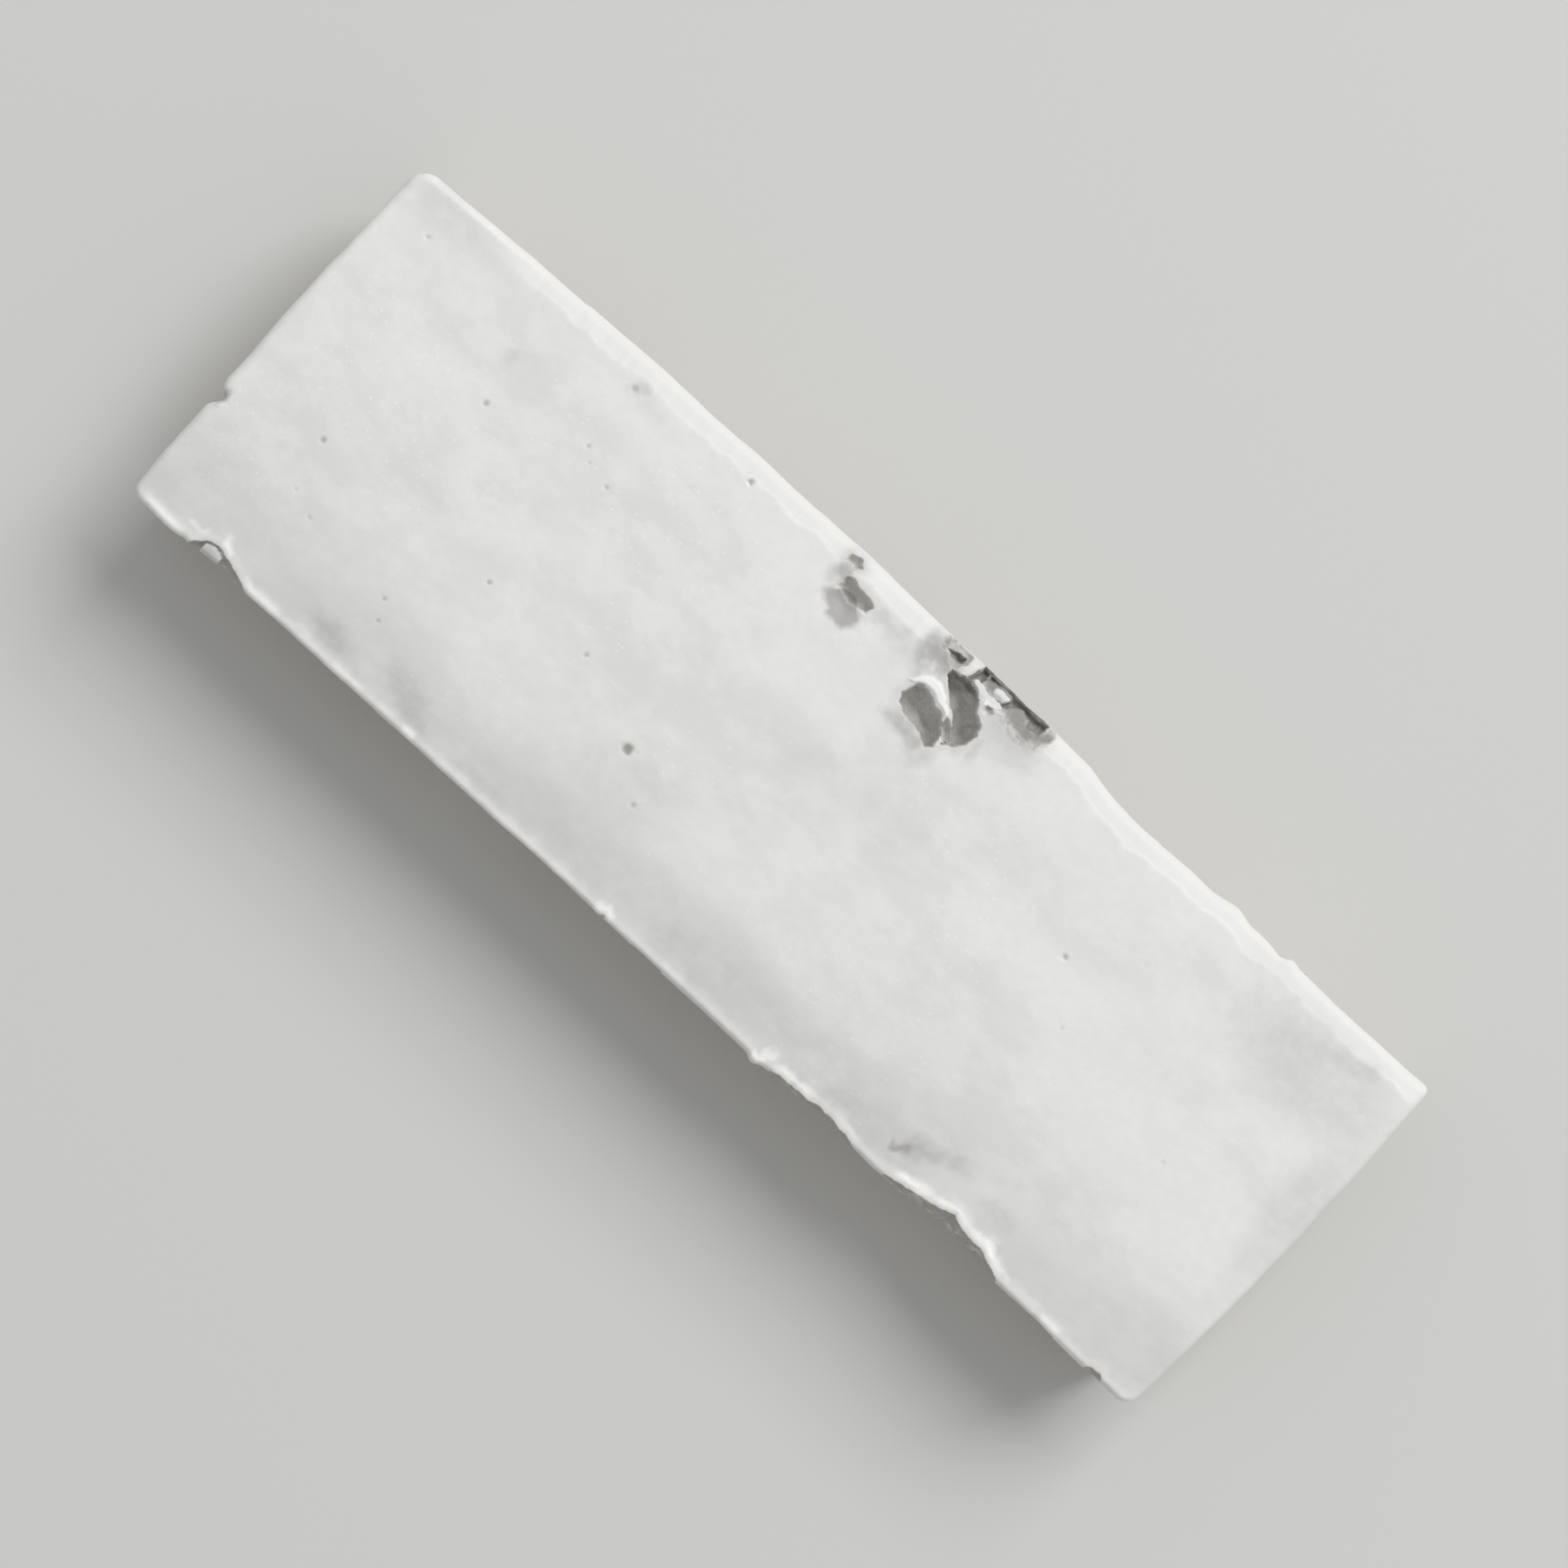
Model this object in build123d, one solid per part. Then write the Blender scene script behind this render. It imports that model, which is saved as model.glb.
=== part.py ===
from build123d import *
from math import cos, radians, sin, sqrt, tan
import os

# Bejmat tile: one fired clay brick tile, thick and slightly tapered, with a
# crowned glazed face that is pressed down along one side, a rolled glaze edge,
# two blown pits and chipped edges.
# Millimetres. X runs along the length, Y across the width, and Z up through
# the thickness, from the raw back at z = 0 to the glazed face.

# Body
length = 146.9
width = 46.7
thickness = 20.0
side_draft = 2.8
back_rounding = 0.7

# Plan outline of the glazed side. Both ends lean in towards the low side.
right_end_lean = 0.9
right_end_bow = 0.6
left_end_lean = 0.8
left_end_bow = 0.3
low_side_hollow = 0.45
high_side_belly = 1.4
belly_at_step = 0.9
step_from_right_end = 45.2
step_run = 5.0
step_rounding = 20.0
corner_high_left = 2.6
corner_high_right = 1.6
corner_low_left = 1.8
corner_low_right = 2.0

# Crowned face, highest a little to the high side of the middle
crown_across_radius = 420.0
crown_crest_offset = 4.0
crown_rise_along = 0.5
edge_roll = 1.0

# Bevel of the face along the high side, which fades out near the left end
bevel_width = 2.4
bevel_slope = 13.0
bevel_from_left_end = 7.5
bevel_fade = 8.0

# Blown pit: two long hollows with a thin ridge between them, in a shallow dish.
# The corners of a hollow are shares of its half length and half width.
pit_from_right_end = 65.7
pit_from_high_side = 5.2
hollows_apart_along = 2.9
hollows_apart_across = 3.5
near_hollow_length = 6.8
near_hollow_width = 3.7
near_hollow_turn = -23.0
near_hollow_depth = 4.0
near_hollow_corners = [
    (-0.95, -0.55),
    (-0.6, -1.0),
    (0.1, -0.8),
    (0.95, -0.7),
    (1.0, 0.1),
    (0.55, 0.75),
    (-0.4, 0.95),
    (-0.95, 0.6),
]
far_hollow_length = 8.6
far_hollow_width = 3.3
far_hollow_turn = -45.0
far_hollow_depth = 4.2
far_hollow_corners = [
    (-1.0, -0.5),
    (-0.6, -1.0),
    (0.35, -0.85),
    (0.9, -1.0),
    (1.0, -0.1),
    (0.6, 0.9),
    (-0.2, 1.0),
    (-0.8, 0.4),
]
hollow_corner_rounding = 0.7
hollow_floor_rounding = 0.6
dish_width = 13.0
dish_depth = 0.6

# Small pit, close to the edge, in a dish of its own
small_pit_from_right_end = 81.1
small_pit_from_high_side = 2.3
small_pit_length = 4.3
small_pit_width = 1.8
small_pit_turn = -12.0
small_pit_depth = 1.9
small_pit_corners = [
    (-1.0, 0.3),
    (-0.8, -0.7),
    (0.2, -1.0),
    (1.0, -0.6),
    (0.9, 0.5),
    (-0.3, 1.0),
]
small_pit_corner_rounding = 0.35
small_pit_floor_rounding = 0.3
small_dish_width = 5.0
small_dish_depth = 0.3
small_dish_offset = 1.2

# Fractures in the edge: where the middle of each is, how long it is, how far
# it reaches in from the edge in plan, and how steeply it falls to the side
break_from_right_end = 63.2
break_length = 16.8
break_reach = 3.1
break_slant = 30.0
nick_from_right_end = 83.7
nick_length = 2.4
nick_reach = 1.0
nick_slant = 45.0
chip_slant = 64.0
long_chip_from_right_end = 28.6
long_chip_length = 18.4
long_chip_reach = 1.9
middle_chip_from_right_end = 47.3
middle_chip_length = 13.6
middle_chip_reach = 1.0
far_chip_from_left_end = 12.6
far_chip_length = 7.2
far_chip_reach = 1.0

half_length = length / 2
half_width = width / 2
crown_along_radius = (half_length**2 + crown_rise_along**2) / (2 * crown_rise_along)
overlap = 5.0

# Where the high side steps out from its straight right part to its belly
step_foot_x = half_length - step_from_right_end
step_top_x = step_foot_x - step_run
belly_x = (step_top_x - half_length) / 2

# The sides lean in towards the back, so the corners are sharpest there. Each
# rounding stays under the corner that it runs round.
back_inset = thickness * tan(radians(side_draft))
sharpest_corner = min(corner_high_left, corner_high_right, corner_low_left, corner_low_right)
roll_radius = min(edge_roll, 0.88 * sharpest_corner)
back_radius = min(back_rounding, 0.8 * (sharpest_corner - back_inset))


def face_height(x, y):
    """Height of the crowned face over a point of the plan."""
    reach = y - crown_crest_offset
    drop_across = crown_across_radius - sqrt(crown_across_radius**2 - reach**2)
    drop_along = crown_along_radius - sqrt(crown_along_radius**2 - x**2)
    return thickness - drop_across - drop_along


def high_edge(x):
    """Distance of the high side's edge from the middle line at x."""
    if x >= step_foot_x:
        return half_width
    share = (x - belly_x) / (step_top_x - belly_x)
    rise = high_side_belly - share**2 * (high_side_belly - belly_at_step / 2)
    return half_width + min(rise + share * belly_at_step / 2, high_side_belly)


def low_edge(x):
    """Distance of the low side's edge from the middle line at x."""
    return half_width - low_side_hollow * (1 - (x / half_length) ** 2)


def round_corner(face, corner, radius):
    """The plan face with the vertex that is nearest to corner rounded."""
    vertex = face.vertices().sort_by_distance(corner)[0]
    return fillet(vertex, radius)


def plan_face():
    """Outline of the glazed side, with a belly and a step on the high side."""
    low_left = (left_end_lean - half_length, -half_width)
    low_right = (half_length - right_end_lean, -half_width)
    high_right = (half_length, half_width)
    high_left = (-half_length, half_width)
    step_foot = (step_foot_x, half_width)
    step_top = (step_top_x, half_width + belly_at_step)
    belly_crest = (belly_x, half_width + high_side_belly)
    right_middle = (half_length - right_end_lean / 2 + right_end_bow, 0)
    left_middle = (left_end_lean / 2 - half_length - left_end_bow, 0)
    face = make_face(
        [
            ThreePointArc(low_left, (0, low_side_hollow - half_width), low_right),
            ThreePointArc(low_right, right_middle, high_right),
            Line(high_right, step_foot),
            Line(step_foot, step_top),
            ThreePointArc(step_top, belly_crest, high_left),
            ThreePointArc(high_left, left_middle, low_left),
        ]
    )
    face = round_corner(face, step_foot, step_rounding)
    face = round_corner(face, step_top, step_rounding)
    face = round_corner(face, high_left, corner_high_left)
    face = round_corner(face, high_right, corner_high_right)
    face = round_corner(face, low_left, corner_low_left)
    return round_corner(face, low_right, corner_low_right)


def crown_section(x):
    """Upright section across the tile at x, under the arc of the crown."""
    reach = half_width + high_side_belly + overlap
    low = (-reach, face_height(x, -reach))
    crest = (crown_crest_offset, face_height(x, crown_crest_offset))
    high = (reach, face_height(x, reach))
    low_foot = (-reach, -overlap)
    high_foot = (reach, -overlap)
    section = make_face(
        [
            ThreePointArc(low, crest, high),
            Line(high, high_foot),
            Line(high_foot, low_foot),
            Line(low_foot, low),
        ]
    )
    return Plane(origin=(x, 0, 0), x_dir=(0, 1, 0), z_dir=(1, 0, 0)) * section


def crown_envelope():
    """Block under the crowned face, lofted through its sections."""
    end = half_length + right_end_bow + left_end_bow + overlap
    return loft([crown_section(share * end) for share in (-1, -0.5, 0, 0.5, 1)])


def body():
    """Tapered clay body with its crowned face, rolled edge and rounded back."""
    plan = Pos(0, 0, thickness) * plan_face()
    sides = extrude(plan, amount=thickness, dir=(0, 0, -1), taper=side_draft)
    above = extrude(plan, amount=overlap, dir=(0, 0, 1))
    tile = (sides + above) & crown_envelope()
    tile = fillet(tile.faces().sort_by(Axis.Z)[-1].outer_wire().edges(), roll_radius)
    return fillet(tile.faces().sort_by(Axis.Z)[0].outer_wire().edges(), back_radius)


def bevel_section(x, inner_y):
    """Upright section at x of what the bevel takes off, from inner_y outwards."""
    out = high_side_belly + bevel_width + overlap
    top = thickness + overlap
    crease = face_height(x, inner_y)
    section = make_face(
        Polyline(
            (inner_y, crease),
            (inner_y + out, crease - out * tan(radians(bevel_slope))),
            (inner_y + out, top),
            (inner_y, top),
            close=True,
        )
    )
    return Plane(origin=(x, 0, 0), x_dir=(0, 1, 0), z_dir=(1, 0, 0)) * section


def high_bevel():
    """What is pressed down along the high side, through its stations."""
    start = bevel_from_left_end - half_length
    full = start + bevel_fade
    stations = [(start, high_edge(start))]
    for x in (full, belly_x, step_top_x, step_foot_x, half_length + overlap):
        stations.append((x, high_edge(x) - bevel_width))
    return loft([bevel_section(x, inner_y) for x, inner_y in stations], ruled=True)


def edge_chip(x, side, chip_length, reach, slant):
    """Fracture in the edge on the +Y (side 1) or -Y (side -1) side.

    It is a round-bottomed channel that runs out and down through the edge at
    slant degrees, chip_length long and reach deep in from the edge in plan."""
    edge_y = high_edge(x) if side > 0 else low_edge(x)
    sink = reach * sin(radians(slant))
    radius = (chip_length**2 / 4 + sink**2) / (2 * sink)
    outwards = (0, side * sin(radians(slant)), cos(radians(slant)))
    along = (0, side * cos(radians(slant)), -sin(radians(slant)))
    deepest = Vector(x, side * (edge_y - reach), face_height(x, side * edge_y))
    channel = Plane(deepest + Vector(outwards) * radius, x_dir=(1, 0, 0), z_dir=along)
    return channel * Cylinder(radius, 4 * overlap)


def dish(x, y, dish_across, depth):
    """Large ball that leaves a shallow round dish in the face."""
    ball_radius = ((dish_across / 2) ** 2 + depth**2) / (2 * depth)
    return Pos(x, y, face_height(x, y) + ball_radius - depth) * Sphere(ball_radius)


def hollow(corners, hollow_length, hollow_width, depth, corner_rounding, floor_rounding):
    """Tool for a hollow with an uneven outline and a rounded floor, face at z = 0."""
    points = [(along * hollow_length / 2, across * hollow_width / 2) for along, across in corners]
    outline = make_face(Polyline(*points, close=True))
    outline = fillet(outline.vertices(), corner_rounding)
    tool = extrude(Pos(0, 0, -depth) * outline, amount=depth + overlap)
    floor = tool.faces().sort_by(Axis.Z)[0]
    return fillet(floor.outer_wire().edges(), min(floor_rounding, 0.9 * corner_rounding))


def blown_pit():
    """The big pit near the high side, in its shallow dish."""
    x = half_length - pit_from_right_end
    y = half_width - pit_from_high_side
    face = face_height(x, y)
    near = hollow(
        near_hollow_corners,
        near_hollow_length,
        near_hollow_width,
        near_hollow_depth,
        hollow_corner_rounding,
        hollow_floor_rounding,
    )
    far = hollow(
        far_hollow_corners,
        far_hollow_length,
        far_hollow_width,
        far_hollow_depth,
        hollow_corner_rounding,
        hollow_floor_rounding,
    )
    apart = Vector(hollows_apart_along / 2, hollows_apart_across / 2)
    near = Pos(x - apart.X, y - apart.Y, face) * Rot(0, 0, near_hollow_turn) * near
    far = Pos(x + apart.X, y + apart.Y, face) * Rot(0, 0, far_hollow_turn) * far
    return [dish(x, y, dish_width, dish_depth), near, far]


def small_pit():
    """The small pit close to the edge, and the dish on its inner side."""
    x = half_length - small_pit_from_right_end
    y = half_width - small_pit_from_high_side
    pit = hollow(
        small_pit_corners,
        small_pit_length,
        small_pit_width,
        small_pit_depth,
        small_pit_corner_rounding,
        small_pit_floor_rounding,
    )
    pit = Pos(x, y, face_height(x, y)) * Rot(0, 0, small_pit_turn) * pit
    return [dish(x, y - small_dish_offset, small_dish_width, small_dish_depth), pit]


def fractures():
    """The broken stretch and a nick of the high side, three chips of the low side."""
    break_x = half_length - break_from_right_end
    nick_x = half_length - nick_from_right_end
    long_x = half_length - long_chip_from_right_end
    middle_x = half_length - middle_chip_from_right_end
    far_x = far_chip_from_left_end - half_length
    return [
        edge_chip(break_x, 1, break_length, break_reach, break_slant),
        edge_chip(nick_x, 1, nick_length, nick_reach, nick_slant),
        edge_chip(long_x, -1, long_chip_length, long_chip_reach, chip_slant),
        edge_chip(middle_x, -1, middle_chip_length, middle_chip_reach, chip_slant),
        edge_chip(far_x, -1, far_chip_length, far_chip_reach, chip_slant),
    ]


tile = body() - high_bevel()
for cutter in blown_pit() + small_pit() + fractures():
    tile = tile - cutter
middle = tile.bounding_box().center()
tile = Pos(-middle.X, -middle.Y, 0) * tile

os.makedirs("parts", exist_ok=True)
export_step(tile, "parts/tile.step")
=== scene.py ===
import math

import bmesh
import bpy
import numpy as np
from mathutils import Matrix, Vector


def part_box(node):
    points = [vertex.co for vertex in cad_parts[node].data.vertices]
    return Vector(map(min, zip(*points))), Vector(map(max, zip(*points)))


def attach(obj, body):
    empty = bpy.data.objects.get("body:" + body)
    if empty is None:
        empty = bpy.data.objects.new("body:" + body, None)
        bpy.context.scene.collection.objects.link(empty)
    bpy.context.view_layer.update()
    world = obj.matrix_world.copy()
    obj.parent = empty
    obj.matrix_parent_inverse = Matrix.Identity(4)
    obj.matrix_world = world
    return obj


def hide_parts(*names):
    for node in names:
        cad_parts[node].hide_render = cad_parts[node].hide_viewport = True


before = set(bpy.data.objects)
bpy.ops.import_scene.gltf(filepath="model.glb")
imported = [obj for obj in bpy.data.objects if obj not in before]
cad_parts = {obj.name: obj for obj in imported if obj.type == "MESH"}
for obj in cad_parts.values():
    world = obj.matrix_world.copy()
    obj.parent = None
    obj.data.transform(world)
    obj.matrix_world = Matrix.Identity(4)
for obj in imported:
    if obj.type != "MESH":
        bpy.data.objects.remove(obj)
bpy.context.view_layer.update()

# The tile is shaped in millimetres and turned into metres at the end. X runs
# along it, Y across it, and Z up to the glazed face. Places on the face are
# measured from the middle of the straight part of its plan.
MM = 0.001
SEED = 41

tile_low, tile_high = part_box("tile")
THICKNESS = (tile_high.z - tile_low.z) / MM
# How far the belly of the high side and the crest of the right end stand out
# of the straight part of the plan
BELLY = 1.4
RIGHT_CREST = 0.3
# The glaze makes the plan a little longer and wider than the solid's, and
# moves its middle towards the low side
LONGER_BY_GLAZE = 0.5
WIDER_BY_GLAZE = 0.55
GLAZE_SHIFT = 0.1
LENGTH = (tile_high.x - tile_low.x) / MM - RIGHT_CREST + LONGER_BY_GLAZE
WIDTH = (tile_high.y - tile_low.y) / MM - BELLY + WIDER_BY_GLAZE
HALF_LENGTH = LENGTH / 2
HALF_WIDTH = WIDTH / 2
PLAN_SHIFT = np.array([-RIGHT_CREST / 2, -BELLY / 2 - GLAZE_SHIFT, 0.0])

# Roll of the arrises, rounding of the back, and lean of the sides
ARRIS_ROLL = 1.0
LOW_ARRIS_ROLL = 0.5
BACK_ROUND = 0.8
SIDE_INSET = 0.98
# Corners of the plan that are drawn in to a disc: which end, which side, radius
CORNERS = ((-1, 1, 2.4), (-1, -1, 1.3), (1, -1, 1.5))
# How square the rolled arris is in plan there, and at the high right corner,
# which is round by its arris alone
SQUARE_POWER = 24.0
ROUND_POWER = 2.4

# Crown of the face
CROWN_CREST = 4.0
CROWN_RADIUS = 420.0
CROWN_RISE_ALONG = 0.5
LOW_SIDE_FALL = 0.55
LOW_SIDE_FALL_START = 8.0

# Slope that the high side's face ends in, which fades out towards the left end
BEVEL_WIDTH = 2.4
BEVEL_SLOPE = math.tan(math.radians(13.0))
BEVEL_START = (-66.0, -54.0)

# Plan: straight high side beyond the step of the belly, hollow low side, and
# ends that lean in towards the low side and bow out between the corners
STEP_START = 22.0
STEP_END = 28.5
BELLY_AT_STEP = 0.9
LOW_HOLLOW = 0.55
RIGHT_LEAN = 0.85
RIGHT_BOW = 0.65
LEFT_LEAN = 0.75
LEFT_BOW = 0.27
# Bumps and dents of the outline: middle, half width, how far out
HIGH_BUMPS = ((45.2, 1.7, 0.5), (53.3, 0.9, 0.45), (32.0, 3.0, -0.15))
LOW_BUMPS = ((18.0, 0.8, 0.5), (-69.0, 2.4, 0.25), (-66.0, 0.6, -0.2), (42.0, 14.0, -0.15))
LEFT_BUMPS = ((-9.6, 0.95, -1.1), (3.0, 4.0, 0.1))


def smooth(low, high, value):
    """0 below low, 1 above high and an even curve between them."""
    t = np.clip((value - low) / (high - low), 0.0, 1.0)
    return t * t * (3 - 2 * t)


class Noise:
    """Gradient noise in three dimensions, from about -1 to 1."""

    def __init__(self, seed):
        draw = np.random.default_rng(seed)
        self.order = draw.permutation(256)
        slopes = draw.normal(size=(256, 3))
        self.slopes = slopes / np.linalg.norm(slopes, axis=1)[:, None]

    def slope(self, cell):
        mixed = self.order[cell[:, 0] & 255]
        mixed = self.order[(mixed + cell[:, 1]) & 255]
        return self.slopes[self.order[(mixed + cell[:, 2]) & 255]]

    def at(self, points, size, shift=0.0):
        """Noise whose bumps are about size wide."""
        scaled = points / size + shift
        cell = np.floor(scaled).astype(int)
        part = scaled - cell
        ease = part**3 * (part * (part * 6 - 15) + 10)
        total = np.zeros(len(points))
        for corner in np.ndindex(2, 2, 2):
            weight = np.prod(np.where(corner, ease, 1 - ease), axis=1)
            reach = part - corner
            total += weight * np.sum(self.slope(cell + corner) * reach, axis=1)
        return total * 1.5

    def layers(self, points, size, count=3, keep=0.5, shift=0.0):
        """Several sizes of noise on top of each other, each finer and weaker."""
        total = np.zeros(len(points))
        for layer in range(count):
            total += keep**layer * self.at(points, size / 2**layer, shift + 7.3 * layer)
        return total


noise = Noise(SEED)


def flat(x, y):
    """Points of the plan, for noise that doesn't change with height."""
    return np.column_stack([x, y, np.zeros(len(x))])


# Damage of the face, in millimetres on the plan. Distances inside an outline
# are counted up from its border, and points that damage can't reach get OUTSIDE.
OUTSIDE = -9.0
# The most that the broken edges reach below the face
DAMAGE_DOWN = 7
PITS = (
    # depth, width of the wall, corners of the outline
    (
        4.0,
        0.35,
        ((2.8, 16.6), (3.3, 15.5), (4.3, 14.9), (6.0, 14.9), (7.4, 14.4), (8.6, 13.9), (9.1, 14.5),
         (9.2, 15.7), (8.5, 16.7), (7.4, 17.7), (5.6, 18.4), (4.0, 18.8), (3.3, 17.9)),
    ),
    (
        4.7,
        0.35,
        ((5.2, 22.2), (5.2, 21.3), (6.3, 20.3), (7.8, 18.9), (9.2, 17.6), (9.9, 16.4), (9.7, 15.3),
         (10.8, 15.7), (11.7, 17.0), (12.0, 18.6), (11.5, 19.7), (10.2, 20.5), (9.6, 21.6),
         (8.5, 22.5), (7.6, 22.8)),
    ),
    (1.6, 0.5, ((8.0, 18.1), (9.3, 17.5), (10.2, 16.2), (9.7, 15.1), (8.9, 15.6), (8.2, 17.0))),
    (1.5, 0.5, ((7.1, 22.6), (7.3, 23.6), (7.6, 25.4), (8.7, 25.4), (8.6, 23.6), (8.5, 22.4))),
    (
        1.8,
        0.6,
        ((-10.1, 20.3), (-9.9, 21.9), (-9.2, 22.1), (-6.2, 21.6), (-5.5, 20.9), (-5.8, 20.0), (-8.0, 19.7)),
    ),
    (1.3, 0.6, ((-11.4, 23.0), (-11.2, 24.1), (-10.0, 24.3), (-9.2, 23.5), (-10.0, 22.6))),
    (1.2, 0.5, ((3.1, 23.5), (4.2, 24.3), (5.6, 24.3), (5.5, 23.6), (4.0, 23.1))),
    (0.9, 0.5, ((10.5, 21.0), (10.6, 21.9), (11.3, 22.0), (11.6, 21.3), (11.1, 20.9))),
    (
        1.7,
        0.5,
        ((8.6, 24.3), (8.6, 25.6), (17.4, 25.6), (17.2, 24.2), (16.7, 23.2), (15.4, 23.1), (14.9, 24.0),
         (13.8, 24.2), (13.0, 24.0), (12.2, 22.9), (11.2, 22.8), (11.9, 24.0), (11.6, 24.5), (9.8, 24.4)),
    ),
)
# Lip between the two big pits, which is also painted bright as a highlight, and the height of it
LIP = (
    (2.4, 18.1), (3.1, 19.4), (4.2, 20.2), (5.5, 20.1), (6.8, 19.3), (8.3, 18.0),
    (8.9, 17.1), (7.6, 17.9), (5.8, 18.6), (4.2, 19.0), (3.2, 18.2),
)
LIP_HEIGHT = 0.2
# Flakes of glaze left standing in the broken stretch: half width, line. They
# lie FLAKE_DROP below the face.
FLAKES = (
    (0.62, ((6.1, 22.9), (6.5, 23.6), (6.7, 24.6))),
    (0.5, ((8.2, 23.0), (9.3, 22.6), (10.4, 22.3), (11.2, 22.6))),
    (0.42, ((10.5, 23.7), (11.5, 23.9))),
)
FLAKE_DROP = 0.3
DISHES = (
    # x, y, radius, depth
    (7.2, 17.6, 7.0, 0.35),
    (-8.4, 19.3, 2.0, 0.8),
    (-4.0, 20.4, 3.5, 0.14),
    (3.6, 21.8, 2.4, 0.5),
    (36.0, -19.4, 1.4, 0.2),
    (41.0, -17.6, 3.4, 0.12),
    (66.0, 19.6, 4.0, 0.10),
    (-46.5, -20.3, 3.0, 0.14),
    (-36.0, -19.8, 4.5, 0.12),
    (-53.0, 14.0, 4.0, 0.08),
    (-8.0, 2.0, 9.0, 0.08),
    (12.0, 3.0, 9.0, 0.08),
)
PINHOLES = (
    # x, y, radius, depth
    (-14.7, -7.8, 0.72, 0.46),
    (-13.7, -7.4, 0.3, 0.1),
    (-10.2, -11.8, 0.42, 0.2),
    (-37.8, -4.7, 0.42, 0.24),
    (-24.8, -3.4, 0.42, 0.24),
    (-61.2, -5.5, 0.45, 0.26),
    (-51.0, 9.2, 0.45, 0.24),
    (-39.8, 13.3, 0.34, 0.18),
    (-35.4, 11.3, 0.34, 0.2),
    (-38.5, 12.0, 0.28, 0.16),
    (34.9, 7.5, 0.45, 0.26),
    (39.8, 1.7, 0.3, 0.14),
    (-44.9, -13.6, 0.34, 0.22),
    (-43.8, -15.8, 0.34, 0.2),
    (-56.7, -12.6, 0.34, 0.16),
    (-24.4, 22.2, 0.48, 0.3),
    (-40.3, 21.2, 0.5, 0.22),
    (-67.7, 18.1, 0.36, 0.18),
    (-59.8, -11.4, 0.3, 0.14),
    (57.5, -1.6, 0.34, 0.12),
)
# Grey patches on the glaze, partly dirt and partly painted shade: around the pits and dishes, by the chips
# and in the notch of the left end
SMUDGES_AND_SHADE = (
    # x, y, half length, half width, turn in degrees, strength
    (3.1, 21.9, 2.7, 2.9, 0, 0.95),
    (14.9, 22.0, 3.3, 1.8, 0, 0.78),
    (14.6, 20.6, 4.4, 2.4, 0, 0.45),
    (-8.1, 19.1, 2.3, 1.5, -5, 1.8),
    (-10.6, 22.4, 0.9, 1.7, 20, 0.9),
    (5.8, 14.1, 3.2, 1.4, -8, 0.85),
    (8.6, 13.0, 1.6, 1.1, 30, 0.5),
    (12.6, 17.4, 0.9, 2.0, 0, 0.45),
    (-3.0, 20.7, 3.2, 1.1, 0, 0.4),
    (0.6, 20.4, 2.0, 1.2, 0, 0.3),
    (-11.4, 21.6, 0.9, 1.5, 10, 0.55),
    (-46.5, -20.3, 3.2, 1.4, -10, 0.58),
    (-36.5, -19.4, 4.0, 1.4, -20, 0.5),
    (-33.0, -21.0, 2.4, 0.9, -20, 0.45),
    (-24.0, -21.0, 4.0, 0.9, 0, 0.35),
    (3.0, -19.0, 3.4, 1.2, 10, 0.35),
    (35.8, -19.5, 1.6, 0.55, 45, 1.3),
    (37.8, -18.4, 3.4, 1.3, 30, 0.65),
    (41.4, -17.0, 1.7, 1.0, 20, 0.5),
    (48.6, -17.6, 2.6, 1.2, 0, 0.3),
    (27.6, -20.0, 2.4, 1.4, 0, 0.4),
    (65.6, 20.0, 3.0, 1.4, 0, 0.5),
    (63.0, 18.2, 2.6, 1.5, 0, 0.3),
    (-39.9, 21.0, 1.1, 0.9, 30, 0.4),
    (-52.3, 14.4, 0.9, 1.5, 0, 0.3),
    (-37.0, 20.6, 4.0, 1.0, 0, 0.15),
    (-14.6, -7.7, 1.2, 0.8, 0, 0.3),
    (-2.0, 5.0, 17.0, 2.6, 0, 0.12),
    (15.0, 4.0, 6.0, 3.0, 0, 0.1),
    (63.0, 16.0, 12.0, 5.5, 0, 0.34),
    (32.0, 13.0, 12.0, 5.0, 0, 0.1),
    (-67.0, 21.6, 6.0, 2.2, 0, 0.26),
    (71.5, 5.0, 3.0, 12.0, 0, 0.26),
    (-13.0, -11.0, 8.0, 4.0, 0, 0.2),
    (-2.0, -18.0, 30.0, 4.0, 0, 0.18),
    (34.0, -19.5, 7.0, 2.6, 0, 0.22),
    (-67.0, -18.0, 5.0, 4.0, 0, 0.1),
    (-72.6, -9.5, 0.8, 1.2, 0, 0.9),
    (4.0, 24.0, 2.2, 1.2, 0, 0.8),
)
# Pale streaks: x, y, half length, half width, turn in degrees, strength
STREAKS = (
    (39.3, -21.5, 2.0, 0.7, 15, 0.9),
    (44.2, -20.7, 1.8, 0.5, 10, 0.6),
    (47.4, -20.7, 1.3, 0.5, 35, 0.7),
    (50.2, -21.1, 1.9, 0.8, -18, 1.0),
    (53.0, -22.0, 1.8, 0.4, -14, 0.6),
    (31.0, -22.2, 1.6, 0.4, 0, 0.5),
    (-61.0, -20.9, 1.2, 0.4, -58, 0.8),
    (-64.8, -21.6, 1.6, 0.5, 10, 0.6),
    (19.0, -21.9, 1.4, 0.5, 25, 0.8),
    (23.5, -21.7, 2.4, 0.5, 0, 0.5),
    (-50.0, -22.3, 3.0, 0.4, 0, 0.35),
    (57.0, -21.9, 3.0, 0.5, 8, 0.35),
    (-59.5, 2.2, 0.8, 0.45, 0, 0.7),
)

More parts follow.
